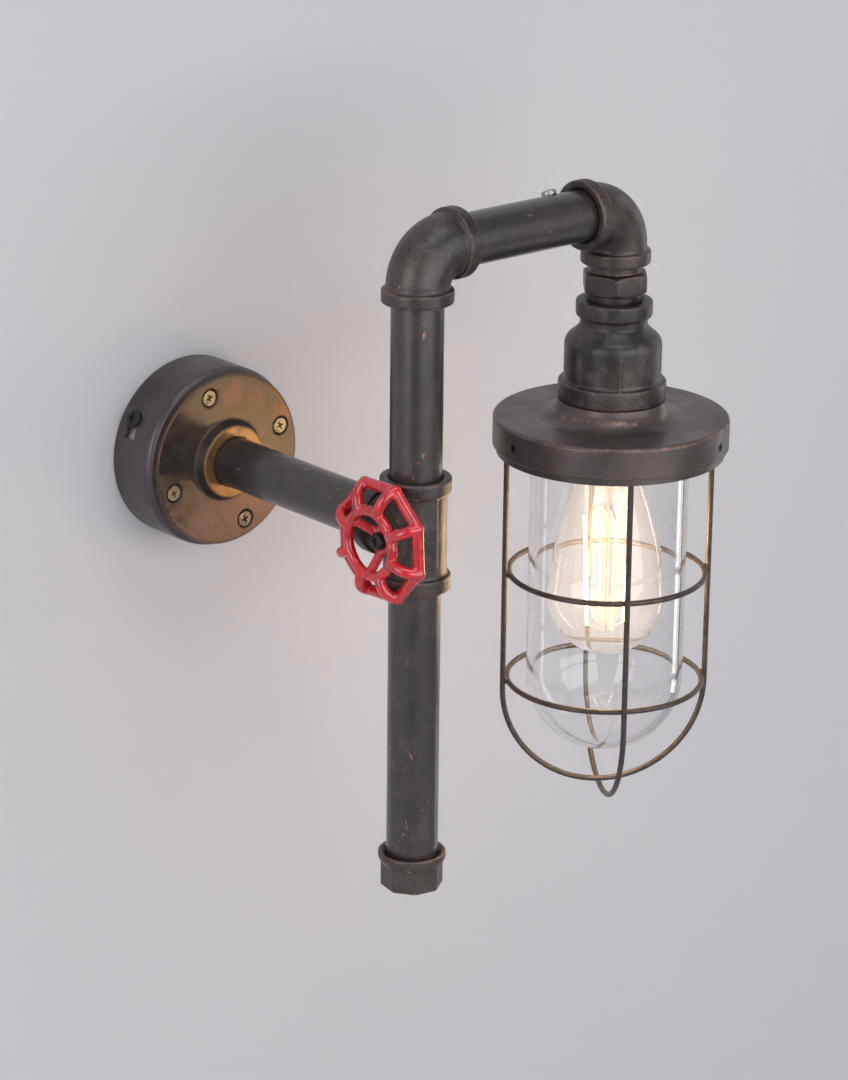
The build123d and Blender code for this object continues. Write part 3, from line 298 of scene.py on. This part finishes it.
def flange_bronze():
    """Rubbed bronze over cast iron: olive and orange patches, dark in its hollows. Painted shade
    darkens the left of the face and the side wall round the hub, and a painted warm highlight
    brightens the hub's front face.
    """
    finish = Finish("flange_bronze", {"Specular IOR Level": 0.5})
    spot = finish.node("ShaderNodeSeparateXYZ", {0: finish.place})
    broad = finish.noise(0.024, 3.0, 0.55, (1, 1, 1), (4, 0, 9))
    cloud = finish.noise(0.009, 4.0, 0.65, (1, 1, 1), (1, 6, 3))
    streak = finish.noise(0.0011, 5.0, 0.65, (1, 1, 1.6))
    colour = finish.mix(finish.step(broad, 0.42, 0.62), BRONZE, BRONZE_COPPER)
    low = finish.step(spot.outputs["Z"], -0.012, -0.034)
    colour = finish.mix(low, colour, BRONZE_ROSE)
    # Painted shade: the left of the face is darkened towards BRONZE_DARK in cloudy patches.
    left = finish.step(spot.outputs["X"], -0.016, -0.040)
    shade = finish.times(left, finish.step(cloud, 0.36, 0.54))
    colour = finish.mix(shade, colour, BRONZE_DARK)
    colour = finish.mix(finish.times(finish.step(streak, 0.50, 0.36), 0.45), colour, BRONZE_DARK)
    # Painted shade: the side wall round the hub, between the flange face and the hub's front, is
    # darkened.
    side = finish.times(
        finish.step(spot.outputs["Y"], FLANGE_FACE_Y + 0.0001, FLANGE_FACE_Y - 0.0012),
        finish.step(spot.outputs["Y"], FLANGE_HUB_Y + 0.0006, FLANGE_HUB_Y + 0.0016),
    )
    colour = finish.mix(side, colour, BRONZE_DARK)
    # Painted highlight: the hub's front face is brightened to warm gold in cloudy patches, as if lit
    # by the bulb.
    hub = finish.step(spot.outputs["Y"], FLANGE_HUB_Y + 0.0008, FLANGE_HUB_Y + 0.0002)
    colour = finish.mix(finish.times(hub, finish.step(cloud, 0.30, 0.50)), colour, BRONZE_PAINTED_GLOW)
    rub = finish.times(finish.ridges(), finish.step(cloud, 0.40, 0.58))
    colour = finish.mix(finish.times(rub, 0.7), colour, COPPER)
    colour = finish.mix(near_screws(finish), colour, SOOT)
    finish.put("Base Color", colour)
    finish.put("Metallic", finish.span(cloud, 0.5, 0.75))
    finish.put("Roughness", finish.span(streak, 0.38, 0.54))
    waves = finish.relief(finish.noise(0.004, 3.0), 0.0002)
    finish.put("Normal", finish.relief(streak, 0.00006, waves))
    return finish.material


def red_enamel():
    """Gloss enamel with a faint orange peel, thinner and darker in places."""
    sockets = {"Specular IOR Level": 0.6, "Coat Weight": 0.8, "Coat Roughness": 0.08}
    finish = Finish("red_enamel", sockets)
    cloud = finish.noise(0.006, 4.0, 0.6)
    chip = finish.step(finish.noise(0.0016, 5.0, 0.7, (1, 1, 1), (5, 2, 2)), 0.66, 0.72)
    chip = finish.times(chip, finish.ridges())
    colour = finish.mix(finish.step(cloud, 0.40, 0.70), ENAMEL, ENAMEL_DEEP)
    finish.put("Base Color", finish.mix(chip, colour, SOOT))
    finish.put("Roughness", finish.span(cloud, 0.18, 0.28))
    peel = finish.relief(finish.noise(0.0018, 2.0, 0.5), 0.00004)
    finish.put("Normal", finish.relief(finish.noise(0.005, 3.0, 0.5), 0.00012, peel))
    return finish.material


def worn_metal(name, colour, dull, metallic, roughness, grain=0.0012, depth=0.00003):
    """Plain metal with dull patches, fine grain and brighter edges."""
    finish = Finish(name, {})
    cloud = finish.noise(0.005, 4.0, 0.6)
    fine = finish.noise(grain, 4.0, 0.6)
    base = finish.mix(finish.step(cloud, 0.42, 0.66), colour, dull)
    finish.put("Base Color", finish.mix(finish.times(finish.edges(0.0003), 0.5), base, colour))
    finish.put("Metallic", finish.span(cloud, metallic, metallic - 0.15))
    finish.put("Roughness", finish.span(fine, roughness - 0.06, roughness + 0.10))
    finish.put("Normal", finish.relief(fine, depth))
    return finish.material


def moulded(name, colour, shade, roughness, grain=0.0008, depth=0.00002):
    """Plastic, rubber or porcelain: two close shades and a fine surface."""
    finish = Finish(name, {})
    cloud = finish.noise(0.004, 3.0, 0.5)
    fine = finish.noise(grain, 4.0, 0.6)
    finish.put("Base Color", finish.mix(finish.step(cloud, 0.38, 0.68), colour, shade))
    finish.put("Roughness", finish.span(fine, roughness - 0.04, roughness + 0.08))
    finish.put("Normal", finish.relief(fine, depth))
    return finish.material


def clear_glass(name, tint, ripple_size, ripple, painted_glow=0.0):
    """Clear glass that lets lamp light through without a hard shadow. The last argument gives a faint
    painted glow: warm emission on the glass itself, fading towards its outline, that stands in for the
    light of something alight inside it."""
    sockets = {"Base Color": tint, "Transmission Weight": 1.0, "IOR": 1.5, "Roughness": 0.0}
    finish = Finish(name, sockets)
    finish.put("Normal", finish.relief(finish.noise(ripple_size, 1.0, 0.3), ripple))
    light = finish.node("ShaderNodeLightPath", {})
    through = finish.node("ShaderNodeBsdfTransparent", {"Color": tint})
    inputs = {0: light.outputs["Is Shadow Ray"], 1: finish.shader.outputs[0], 2: through.outputs[0]}
    surface = finish.node("ShaderNodeMixShader", inputs).outputs[0]
    # Painted glow: the glass emits a faint warm light of its own, though it is no lamp.
    if painted_glow:
        facing = finish.node("ShaderNodeLayerWeight", {"Blend": 0.5}).outputs["Facing"]
        middle = finish.math("SUBTRACT", 1.0, facing)
        amount = finish.times(finish.math("POWER", middle, 1.5), painted_glow)
        emission = finish.node("ShaderNodeEmission", {"Color": PAINTED_GLOW_COLOUR, "Strength": amount})
        surface = finish.node("ShaderNodeAddShader", {0: surface, 1: emission.outputs[0]}).outputs[0]
        finish.material.cycles.emission_sampling = "NONE"
    finish.join(finish.output.inputs["Surface"], surface)
    return finish.material


def lit_phosphor():
    """The filaments' coating, alight. Two facing sticks of the four are the brighter ones."""
    finish = Finish("lit_phosphor", {"Roughness": 0.6})
    cloud = finish.noise(0.004, 2.0, 0.5)
    turn = radians(FILAMENT_TURN + 90)
    inputs = {0: finish.place, 1: LAMP_PLACE}
    from_axis = finish.node("ShaderNodeVectorMath", inputs, operation="SUBTRACT").outputs[0]
    inputs = {0: from_axis, 1: (cos(turn), sin(turn), 0.0)}
    reach = finish.node("ShaderNodeVectorMath", inputs, operation="DOT_PRODUCT").outputs["Value"]
    bright = finish.step(finish.math("ABSOLUTE", reach, 0.0), 0.004, 0.007)
    finish.put("Base Color", finish.mix(cloud, srgb(255, 214, 140), srgb(255, 196, 110)))
    finish.put("Emission Color", finish.mix(cloud, (1.0, 0.80, 0.48, 1.0), (1.0, 0.72, 0.38, 1.0)))
    strength = finish.node("ShaderNodeMapRange", {"Value": bright, "To Min": 0.8, "To Max": 5.0})
    finish.put("Emission Strength", strength.outputs[0])
    finish.material.cycles.emission_sampling = "NONE"
    return finish.material


# ---- Mesh helpers --------------------------------------------------------------------------
def link(name, mesh):
    piece = bpy.data.objects.new(name, mesh)
    bpy.context.scene.collection.objects.link(piece)
    return piece


def paint(piece, material):
    piece.data.materials.clear()
    piece.data.materials.append(material)


def smooth(mesh):
    mesh.polygons.foreach_set("use_smooth", [True] * len(mesh.polygons))


def stand_for(piece, node, body):
    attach(piece, body)
    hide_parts(node)


def casting(node, body, material, voxel, rounds):
    """Copy of a CAD casting with the corners between its forms run together, as in a mould."""
    mesh = nodes[node].data.copy()
    work = bmesh.new()
    work.from_mesh(mesh)
    bmesh.ops.remove_doubles(work, verts=work.verts, dist=SAME_POINT)
    work.to_mesh(mesh)
    work.free()
    rough = link(node + "_rough", mesh)
    remesh = rough.modifiers.new("remesh", "REMESH")
    remesh.mode = "VOXEL"
    remesh.voxel_size = voxel
    ease = rough.modifiers.new("ease", "SMOOTH")
    ease.factor = 0.5
    ease.iterations = rounds
    bpy.context.view_layer.update()
    shaped = rough.evaluated_get(bpy.context.evaluated_depsgraph_get())
    final = bpy.data.meshes.new_from_object(shaped)
    bpy.data.objects.remove(rough)
    piece = link(node + "_casting", final)
    smooth(final)
    paint(piece, material)
    stand_for(piece, node, body)


def arc(centre, radius, start, end, count):
    """Points (radius, height) on an arc, from one angle to another, in degrees from outward."""
    points = []
    for i in range(count + 1):
        angle = radians(start + (end - start) * i / count)
        points.append((centre[0] + radius * cos(angle), centre[1] + radius * sin(angle)))
    return points


def spun(name, outline, segments):
    """Smooth mesh turned about Z from (radius, height) points. Points on the axis close it."""
    work = bmesh.new()
    rings = []
    for radius, height in outline:
        if radius < SAME_POINT:
            rings.append([work.verts.new((0, 0, height))])
            continue
        ring = []
        for i in range(segments):
            angle = 2 * pi * i / segments
            ring.append(work.verts.new((radius * cos(angle), radius * sin(angle), height)))
        rings.append(ring)
    for first, second in zip(rings, rings[1:]):
        for i in range(segments):
            j = (i + 1) % segments
            low = [first[i % len(first)], first[j % len(first)]]
            high = [second[j % len(second)], second[i % len(second)]]
            work.faces.new(list(dict.fromkeys(low + high)))
    bmesh.ops.recalc_face_normals(work, faces=work.faces)
    mesh = bpy.data.meshes.new(name)
    work.to_mesh(mesh)
    work.free()
    smooth(mesh)
    return link(name, mesh)


def along(points, step):
    """The same outline with more points, no further apart than the step."""
    dense = [points[0]]
    for (r0, z0), (r1, z1) in zip(points, points[1:]):
        count = max(1, round(((r1 - r0) ** 2 + (z1 - z0) ** 2) ** 0.5 / step))
        for i in range(1, count + 1):
            dense.append((r0 + (r1 - r0) * i / count, z0 + (z1 - z0) * i / count))
    return dense


# ---- Finishes ------------------------------------------------------------------------------
cast_iron = aged_iron("cast_iron", 1.0, 0.6, 0.8)
tee_iron = aged_iron("tee_iron", 2.2, 0.9, 1.0)
reducer_iron = aged_iron("reducer_iron", 0.7, 0.4, 0.8)
cap_iron = aged_iron("cap_iron", 0.35, 0.8, 0.8, UMBER)
pressed_iron = sheet_iron("pressed_iron", srgb(84, 76, 79), srgb(70, 64, 67), 0.25, 0.25)
hoop_iron = sheet_iron("hoop_iron", srgb(94, 85, 82), srgb(78, 71, 68), 0.6, 0.7)
spun_iron = sheet_iron("spun_iron", srgb(96, 87, 85), srgb(80, 73, 71), 0.7, 0.55, SHADE_RUBS)
wire_bronze = worn_metal("wire_bronze", srgb(84, 73, 68), srgb(62, 55, 52), 0.55, 0.34)
brass_screw = worn_metal("brass_screw", srgb(116, 110, 96), srgb(82, 77, 70), 0.85, 0.40)
black_screw = worn_metal("black_screw", srgb(58, 56, 58), srgb(34, 32, 34), 0.7, 0.32)
nickel = worn_metal("nickel", srgb(170, 168, 166), srgb(140, 138, 136), 1.0, 0.34)
zinc = worn_metal("zinc", srgb(190, 190, 186), srgb(150, 150, 148), 0.95, 0.34, 0.0008)
plain_brass = worn_metal("plain_brass", srgb(205, 170, 96), srgb(160, 126, 66), 1.0, 0.30)
copper_wire = worn_metal("copper_wire", srgb(196, 190, 180), srgb(150, 146, 140), 1.0, 0.3)
nylon = moulded("nylon", srgb(224, 222, 214), srgb(206, 203, 194), 0.48)
porcelain = moulded("porcelain", srgb(226, 222, 212), srgb(212, 206, 194), 0.22, 0.002, 0.00003)
black_rubber = moulded("black_rubber", srgb(34, 34, 35), srgb(24, 24, 25), 0.62)
silicone = moulded("silicone", srgb(222, 220, 214), srgb(206, 203, 196), 0.50)
brown_wire = moulded("brown_wire", srgb(112, 70, 42), srgb(94, 56, 34), 0.42)
blue_wire = moulded("blue_wire", srgb(52, 92, 168), srgb(40, 76, 146), 0.42)
earth_wire = moulded("earth_wire", srgb(96, 150, 50), srgb(190, 186, 60), 0.42, 0.0008)
black_glass = moulded("black_glass", srgb(24, 24, 26), srgb(16, 16, 18), 0.12, 0.002)
jar_glass = clear_glass("jar_glass", (0.985, 0.992, 0.990, 1.0), 0.03, 0.00007)
bulb_clear = clear_glass("bulb_clear", (0.992, 0.990, 0.982, 1.0), 0.02, 0.00001, BULB_PAINTED_GLOW)
stem_clear = clear_glass("stem_clear", (0.96, 0.975, 0.97, 1.0), 0.006, 0.00003)

CARRIED_OVER = {
    "wall_bracket": zinc,
    "side_screws": black_screw,
    "earth_screw": zinc,
    "earth_lug": copper_wire,
    "earth_lead": earth_wire,
    "terminal_block": nylon,
    "terminal_screws": plain_brass,
    "canopy": pressed_iron,
    "flange_screws": brass_screw,
    "flange_nuts": zinc,
    "cable_grommet": black_rubber,
    "inner_cable": silicone,
    "live_core": brown_wire,
    "neutral_core": blue_wire,
    "wall_pipe": pipe_iron("wall_pipe_iron", "Y"),
    "lower_pipe": pipe_iron("lower_pipe_iron", "Z"),
    "upper_pipe": pipe_iron("upper_pipe_iron", "Z"),
    "top_pipe": pipe_iron("top_pipe_iron", "X"),
    "arm_lock_screw": nickel,
    "handwheel_stud": zinc,
    "handwheel_washer": black_screw,
    "handwheel_screw": black_screw,
    "shade_cap": spun_iron,
    "rim_screws": black_screw,
    "cage_hoop": hoop_iron,
    "cage_upper_ring": wire_bronze,
    "cage_lower_ring": wire_bronze,
    "cage_side_loop": wire_bronze,
    "cage_front_loop": wire_bronze,
    "jar_gasket": black_rubber,
    "lampholder": porcelain,
    "screw_shell": plain_brass,
    "centre_contact": plain_brass,
    "holder_stud": zinc,
    "holder_nuts": zinc,
    "bulb_base": plain_brass,
    "bulb_insulator": black_glass,
    "bulb_contact": nickel,
    "bulb_stem": stem_clear,
    "bulb_filaments": lit_phosphor(),
    "filament_wires": copper_wire,
}
for node, material in CARRIED_OVER.items():
    paint(nodes[node], material)
nodes["bulb_filaments"].visible_shadow = False

# ---- Castings ------------------------------------------------------------------------------
casting("tee", "root", tee_iron, 0.0005, 6)
casting("rear_elbow", "root", cast_iron, 0.0005, 10)
casting("front_elbow", "root", cast_iron, 0.0005, 10)
casting("bell_reducer", "root", reducer_iron, 0.0005, 8)
casting("hex_nipple", "root", cast_iron, 0.0004, 6)
casting("bottom_cap", "root", cap_iron, 0.0004, 5)
casting("floor_flange", "root", flange_bronze(), 0.0005, 4)
casting("handwheel", "handwheel", red_enamel(), 0.00045, 10)


# ---- Glass ---------------------------------------------------------------------------------
def make_jar():
    """Clear jar: straight wall, domed bottom, rounded lip."""
    lip = JAR_WALL / 2
    inside = JAR_R - JAR_WALL
    outline = arc((0, JAR_DOME_Z), JAR_R, -90, 0, DOME_STEPS)
    outline[0] = (0, JAR_DOME_Z - JAR_R)
    outline += along([outline.pop(), (JAR_R, JAR_TOP_Z - lip)], JAR_STEP)
    outline += arc((JAR_R - lip, JAR_TOP_Z - lip), lip, 0, 180, LIP_STEPS)[1:]
    outline += along([outline.pop(), (inside, JAR_DOME_Z)], JAR_STEP)
    outline += arc((0, JAR_DOME_Z), inside, 0, -90, DOME_STEPS)[1:]
    outline[-1] = (0, JAR_DOME_Z - inside)
    jar = spun("glass_jar_blown", outline, JAR_SEGMENTS)
    jar.location = (LAMP_X, UPRIGHT_Y, 0)
    paint(jar, jar_glass)
    stand_for(jar, "glass_jar", "glass_jar")


make_jar()
paint(nodes["bulb_glass"], bulb_clear)
smooth(nodes["bulb_glass"].data)


# ---- Cage welds ----------------------------------------------------------------------------
def weld_bead(work, centre, size, seed):
    """Small uneven lump of weld metal."""
    lump = bmesh.ops.create_icosphere(work, subdivisions=3, radius=1.0)["verts"]
    for vertex in lump:
        push = 1 + 0.22 * noise.noise(vertex.co * 1.7 + Vector((seed, 0, 0)))
        vertex.co = Vector([c * s * push for c, s in zip(vertex.co, size)]) + Vector(centre)


def make_welds():
    """Beads where the upright wires are welded to the rings and to the hoop."""
    work = bmesh.new()
    seed = 0
    for turn in CAGE_TURNS:
        away = Vector((sin(radians(turn)), -cos(radians(turn)), 0))
        for z in (*CAGE_RING_Z, CAGE_FOOT_Z):
            reach = CAGE_R - CAGE_WIRE_R
            centre = Vector((LAMP_X, UPRIGHT_Y, z)) + away * reach
            weld_bead(work, centre, WELD_SIZE, seed)
            seed += 1
    mesh = bpy.data.meshes.new("cage_welds")
    work.to_mesh(mesh)
    work.free()
    smooth(mesh)
    welds = link("cage_welds", mesh)
    paint(welds, wire_bronze)
    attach(welds, "root")


make_welds()


# ---- Wall, floor, lights, camera -----------------------------------------------------------
def plane(name, centre, across, up, width, height, hole=0.0):
    """Flat rectangle, with a square hole of that side in its middle."""
    corners = []
    for wide, high in ((width, height), (hole, hole)) if hole else ((width, height),):
        for i, j in ((-1, -1), (1, -1), (1, 1), (-1, 1)):
            corners.append(Vector(centre) + (i * wide * Vector(across) + j * high * Vector(up)) / 2)
    faces = [(0, 1, 2, 3)]
    if hole:
        faces = [(i, (i + 1) % 4, 4 + (i + 1) % 4, 4 + i) for i in range(4)]
    mesh = bpy.data.meshes.new(name)
    mesh.from_pydata(corners, [], faces)
    piece = link(name, mesh)
    return piece


def wall_paint(name, colour, one_sided):
    """Matt paint with a faint roller texture. One side can be left clear, to look through."""
    finish = Finish(name, {"Roughness": 0.9, "Specular IOR Level": 0.2})
    cloud = finish.noise(0.5, 2.0, 0.5)
    shade = [0.985 * part for part in colour[:3]] + [1.0]
    finish.put("Base Color", finish.mix(cloud, colour, shade))
    if one_sided:
        back = finish.node("ShaderNodeNewGeometry", {}).outputs["Backfacing"]
        clear = finish.node("ShaderNodeBsdfTransparent", {})
        inputs = {0: back, 1: finish.shader.outputs[0], 2: clear.outputs[0]}
        mixed = finish.node("ShaderNodeMixShader", inputs)
        finish.join(finish.output.inputs["Surface"], mixed.outputs[0])
    return finish.material


wall = plane("wall", (0.0, WALL_Y, 0.0), (1, 0, 0), (0, 0, 1), *WALL_SIZE, WIRING_HOLE)
paint(wall, wall_paint("wall_paint", WALL_COLOUR, True))
floor = plane("floor", FLOOR_PLACE, (1, 0, 0), (0, 1, 0), *FLOOR_SIZE)
paint(floor, wall_paint("floor_paint", FLOOR_COLOUR, False))


def aimed(place, target):
    return (Vector(place) - Vector(target)).to_track_quat("Z", "Y")


def softbox(name, place, width, height, watts, colour, gleam_only=False):
    light = bpy.data.lights.new(name, "AREA")
    light.shape = "RECTANGLE"
    light.size = width
    light.size_y = height
    light.energy = watts
    light.color = colour
    lamp = link(name, light)
    lamp.location = place
    lamp.rotation_mode = "QUATERNION"
    lamp.rotation_quaternion = aimed(place, LIGHT_TARGET)
    lamp.visible_camera = False
    lamp.visible_diffuse = not gleam_only


def bulb_source(name, watts, gleam_only):
    light = bpy.data.lights.new(name, "POINT")
    light.energy = watts
    light.color = WARM
    light.shadow_soft_size = 0.014
    lamp = link(name, light)
    lamp.location = (LAMP_X, UPRIGHT_Y, BULB_CENTRE_Z)
    lamp.visible_camera = False
    lamp.visible_transmission = False
    lamp.visible_diffuse = not gleam_only


softbox("key_light", (0.15, -2.6, 0.5), 3.2, 2.2, 48.0, (1.0, 0.995, 0.985))
softbox("left_light", (-2.4, -0.6, 0.5), 1.4, 2.2, 24.0, (0.98, 0.985, 1.0))
softbox("top_light", (-0.2, -1.1, 2.4), 1.8, 1.2, 16.0, (1.0, 1.0, 1.0))
softbox("edge_light", (2.4, -0.35, 0.0), 0.35, 3.0, 8.0, (1.0, 1.0, 1.0), True)
bulb_source("bulb_light", 0.05, False)
bulb_source("bulb_gleam", 0.80, True)

world = bpy.data.worlds.new("studio")
world.use_nodes = True
world.node_tree.nodes["Background"].inputs["Color"].default_value = SKY_COLOUR
world.node_tree.nodes["Background"].inputs["Strength"].default_value = SKY_STRENGTH
bpy.context.scene.world = world


def make_camera():
    turn = radians(CAMERA_AZIMUTH)
    rise = radians(CAMERA_ELEVATION)
    roll = radians(CAMERA_ROLL)
    back = Vector((sin(turn) * cos(rise), -cos(turn) * cos(rise), sin(rise)))
    level = Vector((cos(turn), sin(turn), 0))
    top = back.cross(level)
    right = cos(roll) * level + sin(roll) * top
    up = cos(roll) * top - sin(roll) * level
    camera = link("camera", bpy.data.cameras.new("camera"))
    camera.data.lens = CAMERA_LENS
    camera.data.clip_end = 20
    aim = Matrix((right, up, back)).transposed().to_4x4()
    camera.matrix_world = Matrix.Translation(CAMERA_PLACE) @ aim
    bpy.context.scene.camera = camera


make_camera()
bpy.context.scene.view_settings.view_transform = "Standard"
